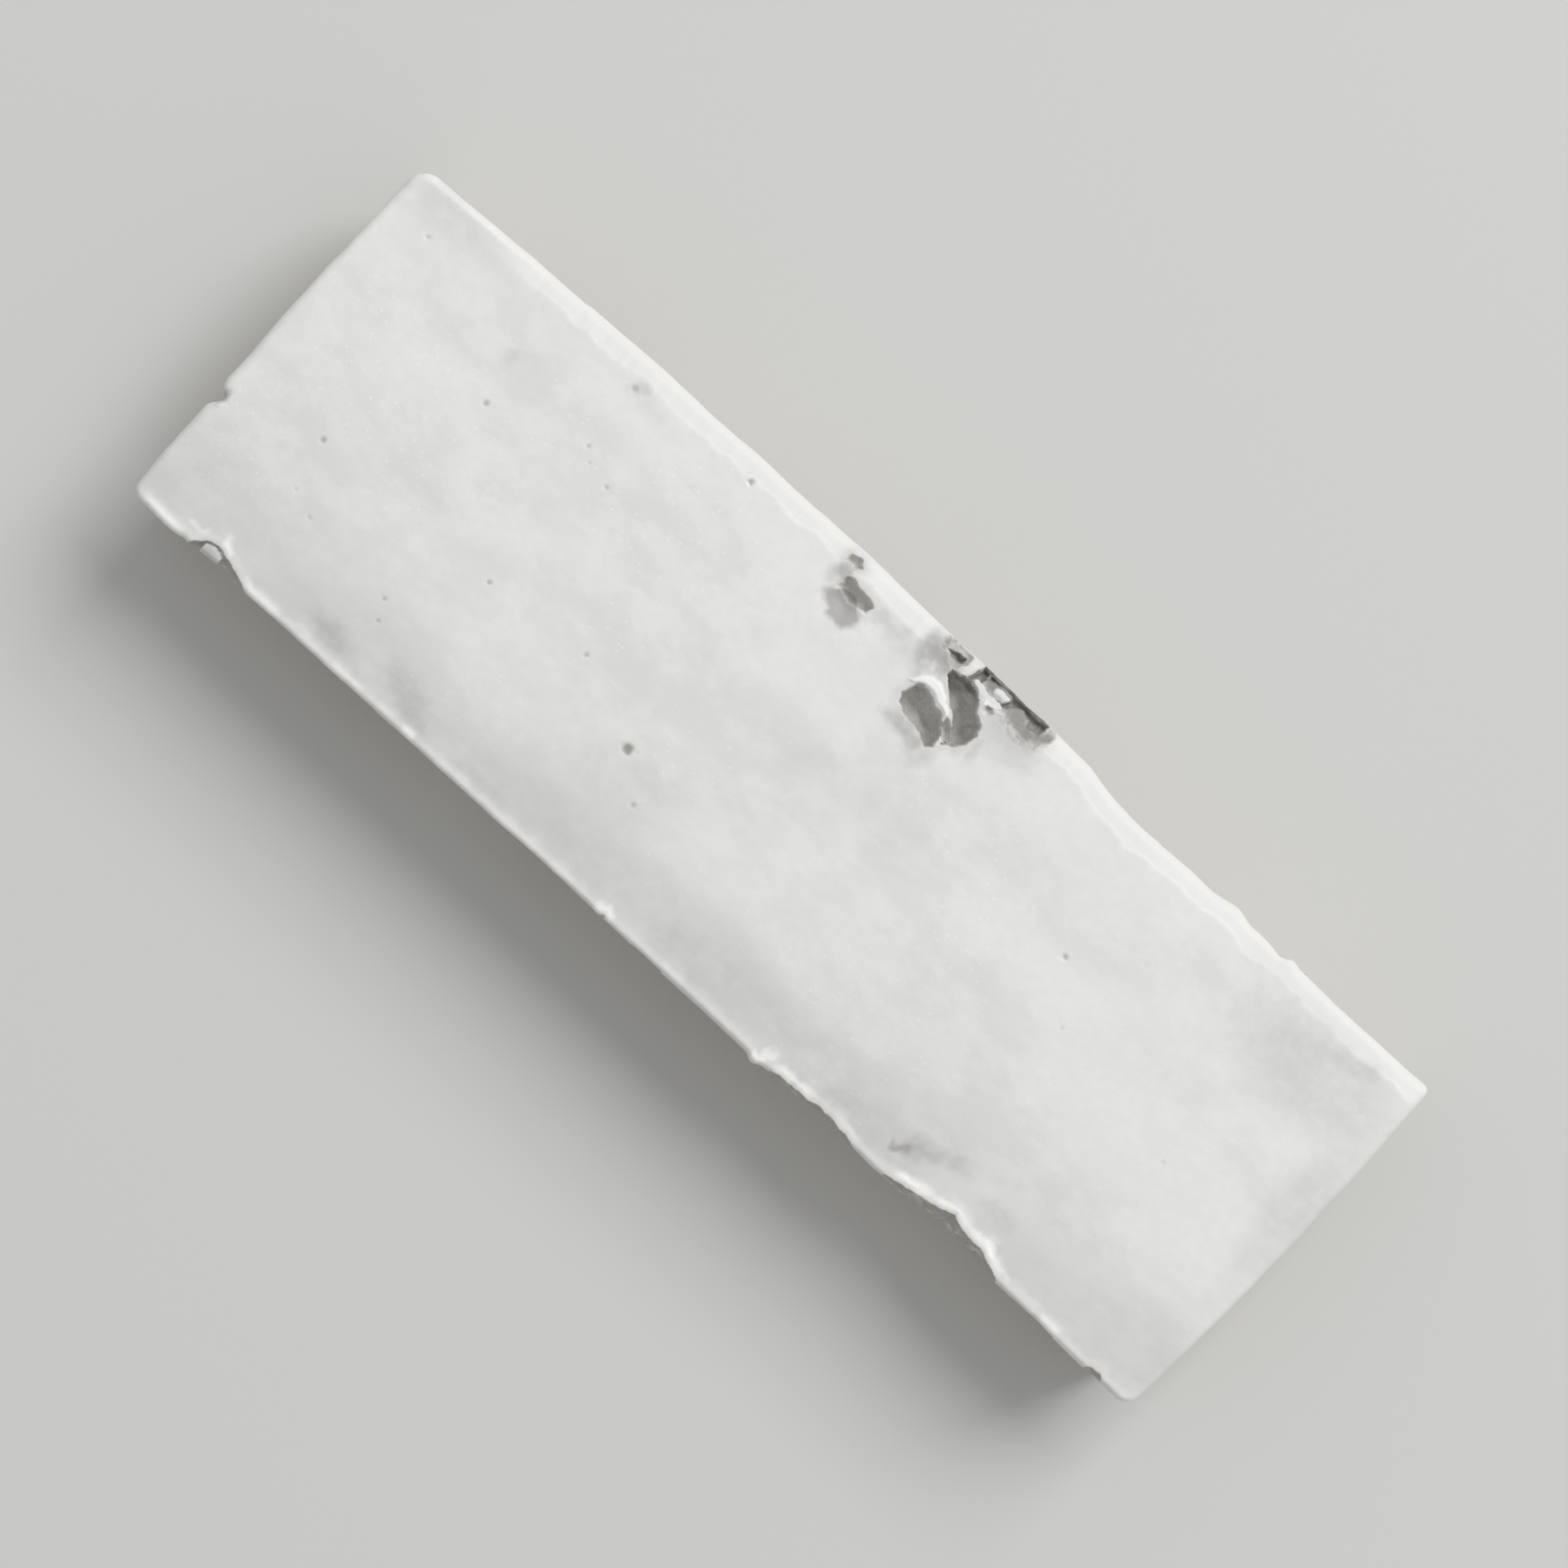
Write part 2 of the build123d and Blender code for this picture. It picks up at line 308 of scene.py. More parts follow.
# Chips of the low side: corners of the border, as place along and bite inwards
LOW_CHIPS = (
    ((34.6, 0), (37, 0.35), (40, 0.9), (42, 1.2), (43.6, 1.7), (45, 2.15), (46.2, 1.6), (48, 1.4),
     (50, 1.3), (51.4, 0.8), (53.6, 0)),
    ((18.7, 0), (21, 0.35), (24, 0.5), (26.6, 0.95), (28.4, 0.8), (30.4, 0.5), (33, 0)),
    ((-64.9, 0), (-64.2, 0.7), (-63.2, 1.5), (-61.8, 1.8), (-60.4, 1.4), (-59, 1.1), (-57.4, 0.55),
     (-56.2, 0)),
    ((66.2, 0), (66.9, 0.45), (68.2, 0.45), (69.2, 0)),
    ((-5.3, 0), (-4.6, 0.4), (-3.9, 0)),
)
# Flake of glaze that stays in the far chip, a little lower than the face
LOW_FLAKE = ((-63.4, -24), (-63.2, -22.8), (-62.5, -22.4), (-61.4, -22.4), (-60.8, -22.9), (-60.8, -24))
CHIP_SLANT = math.radians(64.0)
# Stretches of the low side's glazed lip, painted bright partly as a highlight and partly as pale wear:
# middle, half length, strength
LIP_STRETCHES = (
    (-68.8, 2.9, 1.0),
    (-61.0, 1.0, 0.9),
    (-54.8, 2.8, 0.9),
    (-48.0, 2.0, 0.4),
    (-42.3, 2.4, 0.7),
    (-36.8, 1.4, 0.5),
    (-33.4, 1.0, 0.9),
    (-27.0, 3.0, 0.35),
    (-18.0, 4.0, 0.45),
    (-11.0, 2.0, 0.5),
    (-4.8, 1.4, 1.0),
    (5.0, 2.0, 0.5),
    (12.5, 3.5, 0.35),
    (18.0, 1.0, 1.0),
    (22.5, 2.8, 0.9),
    (30.0, 2.2, 0.6),
    (39.5, 2.4, 1.0),
    (44.6, 3.0, 0.9),
    (50.0, 3.0, 1.0),
    (60.5, 1.6, 0.9),
    (66.5, 3.0, 0.3),
)
# That lip's distance from the edge, half width, least strength and height
LIP_FROM_EDGE = 0.55
LIP_HALF_WIDTH = 0.55
LIP_LEAST = 0.3
LOW_LIP_HEIGHT = 0.16

# Broken stretch of the high side: middle, half length, reach into the face
BREAK_MIDDLE = 10.2
BREAK_HALF = 8.4
BREAK_REACH = 3.0
BREAK_SLANT = math.radians(30.0)

# Glaze that has run down the sides: its reach, the bead along its border, and
# how much lower the raw clay lies
RUN_LEAST = 3.4
RUN_VARIATION = 2.2
RUN_BEAD = 0.14
RAW_SINK = 0.22
# Soft waves of the glazed skin: height, size, shift of the noise
WAVES = (
    (0.085, 24.0, 1.0),
    (0.03, 8.0, 12.0),
    (0.008, 2.6, 20.0),
)
DRIPS = (
    # x, y, extra length, half width
    (-66.0, 23.3, 3.0, 2.0),
    (-52.0, 24.0, 6.5, 1.6),
    (-31.0, 24.6, 3.6, 2.6),
    (-19.0, 24.4, 1.6, 1.2),
    (36.0, 23.3, 5.0, 1.7),
    (41.0, 23.3, 2.6, 1.4),
    (62.0, 23.3, 2.8, 2.2),
    (-57.0, -23.3, 4.6, 1.7),
    (-40.0, -23.3, 2.2, 2.4),
    (-22.0, -23.2, 7.0, 1.5),
    (2.0, -23.0, 3.0, 2.2),
    (60.0, -23.3, 3.8, 1.8),
    (-73.7, 12.0, 3.8, 1.6),
    (-73.7, -4.0, 6.0, 1.5),
    (-73.7, -15.0, 2.0, 2.0),
    (73.7, 15.0, 5.5, 1.6),
    (73.7, 3.0, 2.6, 2.4),
    (73.7, -13.0, 4.0, 1.5),
)


def line_distance(x, y, corners):
    """Distance of plan points to a line through corners."""
    best = np.full(len(x), 1e3)
    for (ax, ay), (bx, by) in zip(corners, corners[1:]):
        run_x, run_y = bx - ax, by - ay
        share = ((x - ax) * run_x + (y - ay) * run_y) / (run_x**2 + run_y**2)
        share = np.clip(share, 0, 1)
        best = np.minimum(best, np.hypot(x - ax - share * run_x, y - ay - share * run_y))
    return best


def inside_outline(x, y, outline):
    """How far plan points are inside a closed outline, below 0 outside it."""
    corners = (*outline, outline[0])
    inside = np.zeros(len(x), bool)
    for (ax, ay), (bx, by) in zip(corners, corners[1:]):
        rise = by - ay or 1.0
        inside ^= ((ay > y) != (by > y)) & (x < ax + (y - ay) * (bx - ax) / rise)
    gap = line_distance(x, y, corners)
    return np.where(inside, gap, -gap)


def bumps(value, table):
    """Sum of the bumps of an outline at places along it."""
    total = np.zeros(len(value))
    for middle, half_wide, out in table:
        total += out * np.exp(-(((value - middle) / half_wide) ** 2))
    return total


def ragged(x, y, size, amount, shift):
    """Plan points moved about by noise, so that an outline comes out ragged."""
    points = flat(x, y)
    return (
        x + amount * noise.layers(points, size, 3, 0.55, shift),
        y + amount * noise.layers(points, size, 3, 0.55, shift + 31.7),
    )


def pits(x, y):
    """Depth of the pits, and how far each point is inside their outline."""
    depth = np.zeros(len(x))
    inside = np.full(len(x), OUTSIDE)
    rough_x, rough_y = ragged(x, y, 1.6, 0.22, 3.0)
    for deep, wall, outline in PITS:
        reach = inside_outline(rough_x, rough_y, outline)
        side = np.clip(reach / wall, 0, 1)
        bowl = np.clip(reach / 1.8, 0, 1)
        depth = np.maximum(depth, deep * (0.85 * side * (2 - side) + 0.15 * bowl))
        inside = np.maximum(inside, reach)
    floor = 0.35 * noise.layers(flat(x, y), 1.7, 3, 0.6, 11.0)
    depth += np.clip(depth / 2.5, 0, 1) * floor
    return np.maximum(depth, 0), inside


def dishes(x, y):
    """Depth of the shallow round dips in the face."""
    depth = np.zeros(len(x))
    for centre_x, centre_y, radius, deep in DISHES:
        ratio = np.hypot(x - centre_x, y - centre_y) / radius
        depth += deep * np.exp(-2.2 * ratio**2)
    return depth


def pinholes(x, y):
    """Depth of the pinholes that gas left in the glaze."""
    rough_x, rough_y = ragged(x, y, 0.9, 0.12, 41.0)
    depth = np.zeros(len(x))
    for centre_x, centre_y, radius, deep in PINHOLES:
        ratio = np.hypot(rough_x - centre_x, rough_y - centre_y) / radius
        depth += deep * np.clip(1 - (ratio / 1.2) ** 2, 0, 1) ** 1.5
    return depth


def smudges(x, y, table):
    """How strong the soft ragged patches of a table are at plan points."""
    rough_x, rough_y = ragged(x, y, 3.0, 0.8, 51.0)
    strength = np.zeros(len(x))
    for centre_x, centre_y, half_long, half_short, turn, most in table:
        angle = math.radians(turn)
        step_x, step_y = rough_x - centre_x, rough_y - centre_y
        along = (step_x * math.cos(angle) + step_y * math.sin(angle)) / half_long
        across = (step_y * math.cos(angle) - step_x * math.sin(angle)) / half_short
        strength = np.maximum(strength, most * smooth(1.35, 0.45, np.hypot(along, across)))
    return strength


def low_bite(x):
    """How far the low side's chips reach into the face at x, below 0 beside them."""
    rough = noise.layers(flat(x, np.zeros(len(x))), 2.2, 4, 0.65, 5.0)
    bite = np.full(len(x), -3.0)
    for border in LOW_CHIPS:
        places, bites = zip(*border)
        beside = np.maximum(places[0] - x, x - places[-1])
        arch = np.interp(x, places, bites) + 0.16 * rough
        bite = np.maximum(bite, np.where(beside < 0, arch, -beside))
    return bite


def break_reach(x):
    """How far the broken stretch reaches into the face at x, below 0 beside it."""
    rough = noise.layers(flat(x, np.zeros(len(x))), 3.4, 4, 0.6, 17.0)
    along = np.abs(x - BREAK_MIDDLE) / BREAK_HALF
    arch = BREAK_REACH * np.clip(1 - along**6, 0, 1) ** 0.5 + 0.7 * rough
    return np.where(along < 1, arch, -4 * (along - 1))


def at_least(level, where, steps):
    """Levels raised to a number of steps where that applies."""
    return np.where(where, np.maximum(level, steps), level)


def wanted_level(middle):
    """How often a face of the plain block is halved, by what lies there."""
    x, y, z = middle.T
    top = z > THICKNESS - 0.01
    in_low = HALF_WIDTH + y
    in_high = HALF_WIDTH - y
    in_end = HALF_LENGTH - np.abs(x)
    level = np.where(~top & (z > THICKNESS - 7.5), 1, 0)
    near_arris = (np.minimum(in_low, in_end) < 1.8) | (in_high < BEVEL_WIDTH + 1.0)
    near_arris &= z > THICKNESS - 1.6
    level = at_least(level, near_arris, 2)
    level = at_least(level, (in_low < 1.1) & (z > THICKNESS - 0.7), 3)
    high, _ = outline_shift(x)
    face_y = y + (y + HALF_WIDTH) / WIDTH * high
    for _, _, outline in PITS:
        reach = inside_outline(x, face_y, outline)
        for margin, steps in ((1.6, 2), (0.7, 3)):
            level = at_least(level, top & (reach > -margin), steps)
    in_break = (np.abs(x - BREAK_MIDDLE) < BREAK_HALF + 0.8) & (in_high < BREAK_REACH + 1.0)
    level = at_least(level, in_break & (z > THICKNESS - 2.5), 3)
    level = at_least(level, top & (inside_outline(x, face_y, LIP) > -0.5), 3)
    for border in LOW_CHIPS:
        places, bites = zip(*border)
        near = (x > places[0] - 1.4) & (x < places[-1] + 1.4) & (in_low < max(bites) + 0.9)
        for depth, steps in ((1.0, 3), (4.5, 2)):
            level = at_least(level, near & (z > THICKNESS - depth), steps)
    for centre_x, centre_y, radius, _ in PINHOLES:
        gap = np.hypot(x - centre_x, face_y - centre_y) - radius
        for margin, steps in ((1.6, 1), (0.9, 2), (0.3, 3)):
            level = at_least(level, top & (gap < margin), steps)
    return level


def plain_block():
    """Closed block of square faces about 1 mm wide, halved where it matters."""
    counts = [round(LENGTH), round(WIDTH), round(THICKNESS)]
    low = np.array([-HALF_LENGTH, -HALF_WIDTH, 0.0])
    high = np.array([HALF_LENGTH, HALF_WIDTH, THICKNESS])
    points = {}
    faces = []

    def point(key):
        return points.setdefault(key, len(points))

    for axis in range(3):
        a, b = (axis + 1) % 3, (axis + 2) % 3
        for side in (0, counts[axis]):
            for i in range(counts[a]):
                for j in range(counts[b]):
                    corners = []
                    for da, db in ((0, 0), (1, 0), (1, 1), (0, 1)):
                        key = [0, 0, 0]
                        key[axis], key[a], key[b] = side, i + da, j + db
                        corners.append(point(tuple(key)))
                    faces.append(corners if side else corners[::-1])
    lattice = np.array(list(points), float) / counts
    mesh = bpy.data.meshes.new("tile_block")
    mesh.from_pydata((low + lattice * (high - low)).tolist(), [], faces)
    work = bmesh.new()
    work.from_mesh(mesh)
    bpy.data.meshes.remove(mesh)
    for level in range(1, 4):
        middles = np.array([face.calc_center_median() for face in work.faces])
        sizes = np.array([face.calc_area() for face in work.faces])
        coarse = sizes > 1.6 * 0.25**level
        chosen = (wanted_level(middles) >= level) & coarse
        edges = {
            edge
            for face, pick in zip(work.faces, chosen)
            if pick
            for edge in face.edges
        }
        edges = sorted(edges, key=lambda edge: edge.index)
        bmesh.ops.subdivide_edges(work, edges=edges, cuts=1, use_grid_fill=True)
        work.verts.index_update()
        work.edges.index_update()
        work.faces.index_update()
    return work


def outline_shift(x):
    """How far the high and the low side stand out of the plain block at x."""
    line = flat(x, np.zeros(len(x)))
    chord = (x + HALF_LENGTH) / (STEP_START + HALF_LENGTH)
    arch = BELLY_AT_STEP * chord + 4 * (BELLY - BELLY_AT_STEP / 2) * chord * (1 - chord)
    belly = np.where(x < STEP_START, arch, BELLY_AT_STEP)
    belly = belly * (1 - smooth(STEP_START, STEP_END, x))
    high = belly + 0.12 * noise.layers(line, 9.0, 3, 0.6, 2.0) + bumps(x, HIGH_BUMPS)
    hollow = LOW_HOLLOW * (1 - (x / HALF_LENGTH) ** 2)
    low = hollow + 0.12 * noise.layers(line, 7.0, 3, 0.6, 9.0) - bumps(x, LOW_BUMPS)
    return high, low


def end_shift(y):
    """How far the right and the left end stand out of the plain block at y."""
    line = flat(y, np.full(len(y), 40.0))
    share = (y + HALF_WIDTH) / WIDTH
    bow = 4 * share * (1 - share)
    right = RIGHT_BOW * bow - RIGHT_LEAN * (1 - share) + 0.1 * noise.layers(line, 7.0, 3, 0.6, 4.0)
    left = LEFT_BOW * bow - LEFT_LEAN * (1 - share) + 0.1 * noise.layers(line, 7.0, 3, 0.6, 8.0)
    return right, left + bumps(y, LEFT_BUMPS)


def rounded(block):
    """The plain block with its edges rolled, and which way each point faces."""
    up = smooth(0.35, 0.8, block[:, 2] / THICKNESS)
    from_low_side = smooth(2.0, 12.0, block[:, 1] + HALF_WIDTH)
    arris = LOW_ARRIS_ROLL + (ARRIS_ROLL - LOW_ARRIS_ROLL) * from_low_side
    roll = (BACK_ROUND + (arris - BACK_ROUND) * up)[:, None]
    low = np.array([-HALF_LENGTH, -HALF_WIDTH, 0.0]) + roll
    high = np.array([HALF_LENGTH, HALF_WIDTH, THICKNESS]) - roll
    inner = np.clip(block, low, high)
    away = (block - inner) / roll
    by_disc = (block[:, 0] < 0) | (block[:, 1] < 0)
    power = np.where(by_disc, SQUARE_POWER, ROUND_POWER)
    across = np.abs(away[:, 0]) ** power + np.abs(away[:, 1]) ** power
    across = across ** (1 / power)
    size = np.sqrt(across**2 + away[:, 2] ** 2)
    away = away / np.maximum(size, 1e-9)[:, None]
    facing = away / np.maximum(np.linalg.norm(away, axis=1), 1e-9)[:, None]
    place = inner + away * roll

    # Round corners: the square of each is drawn in to a quarter of a disc
    for end, side, radius in CORNERS:
        out_x = end * place[:, 0] - HALF_LENGTH + radius
        out_y = side * place[:, 1] - HALF_WIDTH + radius
        in_corner = (out_x > 0) & (out_y > 0)
        draw_in = np.maximum(out_x, out_y) / np.maximum(np.hypot(out_x, out_y), 1e-9)
        draw_in = np.where(in_corner, draw_in, 1.0)
        place[:, 0] -= end * out_x * (1 - draw_in)
        place[:, 1] -= side * out_y * (1 - draw_in)
    return place, facing


def glaze_above_border(place):
    """How far points are above the lower border of the glaze on the sides."""
    run = RUN_LEAST + RUN_VARIATION * noise.layers(flat(place[:, 0], place[:, 1]), 15.0, 3, 0.5, 6.0)
    for drip_x, drip_y, extra, half_wide in DRIPS:
        gap = np.hypot(place[:, 0] - drip_x, place[:, 1] - drip_y)
        drip = 0.8 * np.sqrt(np.clip(1 - (gap / half_wide) ** 2, 0, 1))
        run += extra * (drip + 0.2 * np.exp(-((gap / half_wide / 1.6) ** 2)))
    return place[:, 2] - (THICKNESS - run)


def surface_relief(block, glazed, down):
    """How far the waves of the glaze and the grain of the clay stand out."""
    wave = np.zeros(len(block))
    for height, size, shift in WAVES:
        wave += height * noise.at(block, size, shift)
    grain = 0.16 * noise.layers(block, 2.6, 3, 0.6, 14.0)
    drag = 0.07 * noise.layers(block * np.array([0.12, 0.12, 1.0]), 1.3, 2, 0.5, 19.0)
    raw = smooth(0.25, -0.25, glazed)
    bead = RUN_BEAD * np.exp(-(((glazed - 0.7) / 0.55) ** 2)) * smooth(0.0, 0.6, down)
    outward = (1 - raw) * wave + bead
    outward -= raw * (RAW_SINK + np.abs(grain) + np.where(block[:, 2] > 0.01, drag, 0))
    return outward


def low_side_lip(plan_x, from_edge):
    """How strong the lip along the low side is."""
    stretch = np.full(len(plan_x), LIP_LEAST)
    for middle, half_long, strength in LIP_STRETCHES:
        ease = smooth(1.4, 0.5, np.abs(plan_x - middle) / half_long)
        stretch = np.maximum(stretch, strength * ease)
    line = flat(plan_x, np.zeros(len(plan_x)))
    uneven = np.clip(1 + 0.6 * noise.layers(line, 2.0, 3, 0.6, 28.0), 0.35, 1.6)
    lip = stretch * np.exp(-(((from_edge - LIP_FROM_EDGE) / (LIP_HALF_WIDTH * uneven)) ** 2))
    return lip * np.clip(0.4 + 0.7 * uneven, 0, 1)


def break_off(place, start, normal, near, stays, crumble):
    """Points cut back to a slope, and how far each stood out of it."""
    past = np.where(near, (place - start) @ normal, OUTSIDE)
    cut = np.maximum(past + np.clip(past / 0.4, 0, 1) * crumble, 0)
    cut = cut * (1 - stays) + np.minimum(cut, FLAKE_DROP) * stays
    return place - cut[:, None] * normal, past


def shape(block):
    """Places of the tile's points, and the fields that its finish goes by."""
    x, y, z = block.T
    place, facing = rounded(block)
    high_shift, low_shift = outline_shift(x)
    share = (y + HALF_WIDTH) / WIDTH
    place[:, 1] += share * high_shift + (1 - share) * low_shift
    right_shift, left_shift = end_shift(y)
    along = (x + HALF_LENGTH) / LENGTH
    place[:, 0] += along * right_shift - (1 - along) * left_shift

    # Bumps and dents of the outline belong to the arris and fade down the sides
    fade = smooth(0.85, 0.5, z / THICKNESS)
    place[:, 0] += fade * (1 - along) * bumps(y, LEFT_BUMPS)
    place[:, 1] += fade * ((1 - share) * bumps(x, LOW_BUMPS) - share * bumps(x, HIGH_BUMPS))
    plan_x = place[:, 0].copy()
    line = flat(plan_x, np.zeros(len(x)))

    # Crown of the face, and the slope that it ends in along the high side
    fall = (place[:, 1] - CROWN_CREST) ** 2 / (2 * CROWN_RADIUS)
    fall += CROWN_RISE_ALONG * (x / HALF_LENGTH) ** 2
    low_reach = np.clip((-LOW_SIDE_FALL_START - place[:, 1]) / 14.0, 0, None)
    fall += LOW_SIDE_FALL * low_reach**2
    level_face = THICKNESS - fall
    wander = 0.5 * noise.layers(line, 4.2, 4, 0.7, 61.0)
    in_bevel = BEVEL_WIDTH - (HALF_WIDTH - y)
    in_bevel += wander * smooth(BEVEL_WIDTH, 0.35 * BEVEL_WIDTH, in_bevel)
    in_bevel = 0.1 * np.logaddexp(0, in_bevel / 0.1)
    bevel = BEVEL_SLOPE * in_bevel * smooth(*BEVEL_START, x)
    place[:, 2] -= (fall + bevel) * z / THICKNESS

    lean = SIDE_INSET * np.clip(1 - z / (THICKNESS - ARRIS_ROLL), 0, 1)
    place[:, 0] *= 1 - lean / HALF_LENGTH
    place[:, 1] *= 1 - lean / HALF_WIDTH

    # The face is glazed throughout and the back is raw
    down = THICKNESS - z
    glazed = glaze_above_border(place)
    glazed = np.where(down > 0.0, glazed, 6.0)
    glazed = np.where(z < 0.01, -6.0, glazed)
    outward = surface_relief(block, glazed, down)

    # The glaze stands up in a thin lip by the pits and along the low side, painted bright as a highlight,
    # on the low side partly as pale wear
    on_face = (facing[:, 2] > 0.3) & (down < ARRIS_ROLL)
    bite = low_bite(plan_x)
    low_edge = -HALF_WIDTH + low_shift
    from_edge = place[:, 1] - low_edge - np.maximum(bite, 0)
    face_x, face_y = place[:, 0].copy(), place[:, 1].copy()
    low_lip = low_side_lip(plan_x, from_edge)
    low_lip = np.where(on_face & (y < 0), low_lip, 0)
    rough_x, rough_y = ragged(face_x, face_y, 1.6, 0.22, 3.0)
    pit_lip = smooth(-0.1, 0.2, inside_outline(rough_x, rough_y, LIP))
    pit_lip = np.where(on_face, pit_lip, 0)
    outward += LOW_LIP_HEIGHT * low_lip + LIP_HEIGHT * pit_lip
    outward -= np.where(on_face, dishes(face_x, face_y), 0)
    place += facing * outward[:, None]

    # Chips break the low arris away to a steep slope
    crumble = 0.16 * noise.layers(block, 1.5, 3, 0.6, 33.0)
    normal = np.array([0.0, -math.sin(CHIP_SLANT), math.cos(CHIP_SLANT)])
    start = np.column_stack([x, low_edge + bite, level_face])
    stays = smooth(-0.1, 0.1, inside_outline(rough_x, rough_y, LOW_FLAKE))
    near = (y < 0) & (down < DAMAGE_DOWN)
    place, chip = break_off(place, start, normal, near, stays, crumble)

    # The high arris is broken away to a lower slope, with flakes left standing
    crumble = 0.3 * noise.layers(block, 2.2, 4, 0.6, 23.0)
    normal = np.array([0.0, math.sin(BREAK_SLANT), math.cos(BREAK_SLANT)])
    start = np.column_stack([x, HALF_WIDTH + high_shift - break_reach(x), level_face - 0.25])
    kept = np.zeros(len(x))
    for half_wide, flake in FLAKES:
        gap = line_distance(rough_x, rough_y, flake)
        kept = np.maximum(kept, smooth(half_wide * 1.2, half_wide * 0.8, gap))
    near = (y > 0) & (down < DAMAGE_DOWN)
    place, broken = break_off(place, start, normal, near, kept, crumble)

    # Pits and pinholes go straight down, and stop at the back
    pit_depth, pit_inside = pits(face_x, face_y)
    reaches_pit = on_face | ((broken > 0) & (down < 3))
    pit_depth = np.where(reaches_pit, pit_depth, 0) * (1 - kept)
    pit_inside = np.where(reaches_pit, pit_inside, OUTSIDE) * (1 - kept) + OUTSIDE * kept
    hole_depth = np.where(down < 0.01, pinholes(face_x, face_y), 0)
    place[:, 2] -= pit_depth + 0.4 * hole_depth
    place[:, 2] = np.maximum(place[:, 2], 0.0)
    # Grey patches, partly dirt and partly painted shade
    dirt_and_shade_patches = smudges(face_x, face_y, SMUDGES_AND_SHADE)
    streaks = smudges(face_x, face_y, STREAKS) * smooth(0.0, 0.3, from_edge)
    fields = {
        "glazed": glazed,
        "chip": np.where(stays > 0.5, -1.0, chip),
        "broken": np.where(kept > 0.5, -1.0, broken),
        "pit": pit_inside,
        "hole": hole_depth,
        "highlight_and_wear": np.maximum(np.maximum(low_lip, 0.75 * pit_lip), np.where(on_face, streaks, 0)),
        "smudge_and_shade": np.maximum(np.where(on_face, dirt_and_shade_patches, 0), np.maximum(0.2 * kept, 0.5 * stays)),
        "bevel": np.clip(in_bevel / 0.4, 0, 1) * smooth(*BEVEL_START, x),
    }
    return place + PLAN_SHIFT, fields


def make_tile():
    """The whole tile as one closed mesh, with its finish fields as attributes."""
    work = plain_block()
    mesh = bpy.data.meshes.new("bejmat_tile")
    work.to_mesh(mesh)
    work.free()
    block = np.zeros(len(mesh.vertices) * 3)
    mesh.vertices.foreach_get("co", block)
    place, fields = shape(block.reshape(-1, 3))
    mesh.vertices.foreach_set("co", (place * MM).ravel())
    for name, values in fields.items():
        attribute = mesh.attributes.new(name, "FLOAT", "POINT")
        attribute.data.foreach_set("value", values.astype(np.float32))
    mesh.polygons.foreach_set("use_smooth", [True] * len(mesh.polygons))
    mesh.update()
    tile = bpy.data.objects.new("bejmat_tile", mesh)
    bpy.context.scene.collection.objects.link(tile)
    return tile


def srgb(red, green, blue):
    """Colour given as it looks on a screen, from 0 to 255, for a shader."""
    shares = [value / 255 for value in (red, green, blue)]
    linear = [s / 12.92 if s < 0.04045 else ((s + 0.055) / 1.055) ** 2.4 for s in shares]
    return (*linear, 1.0)


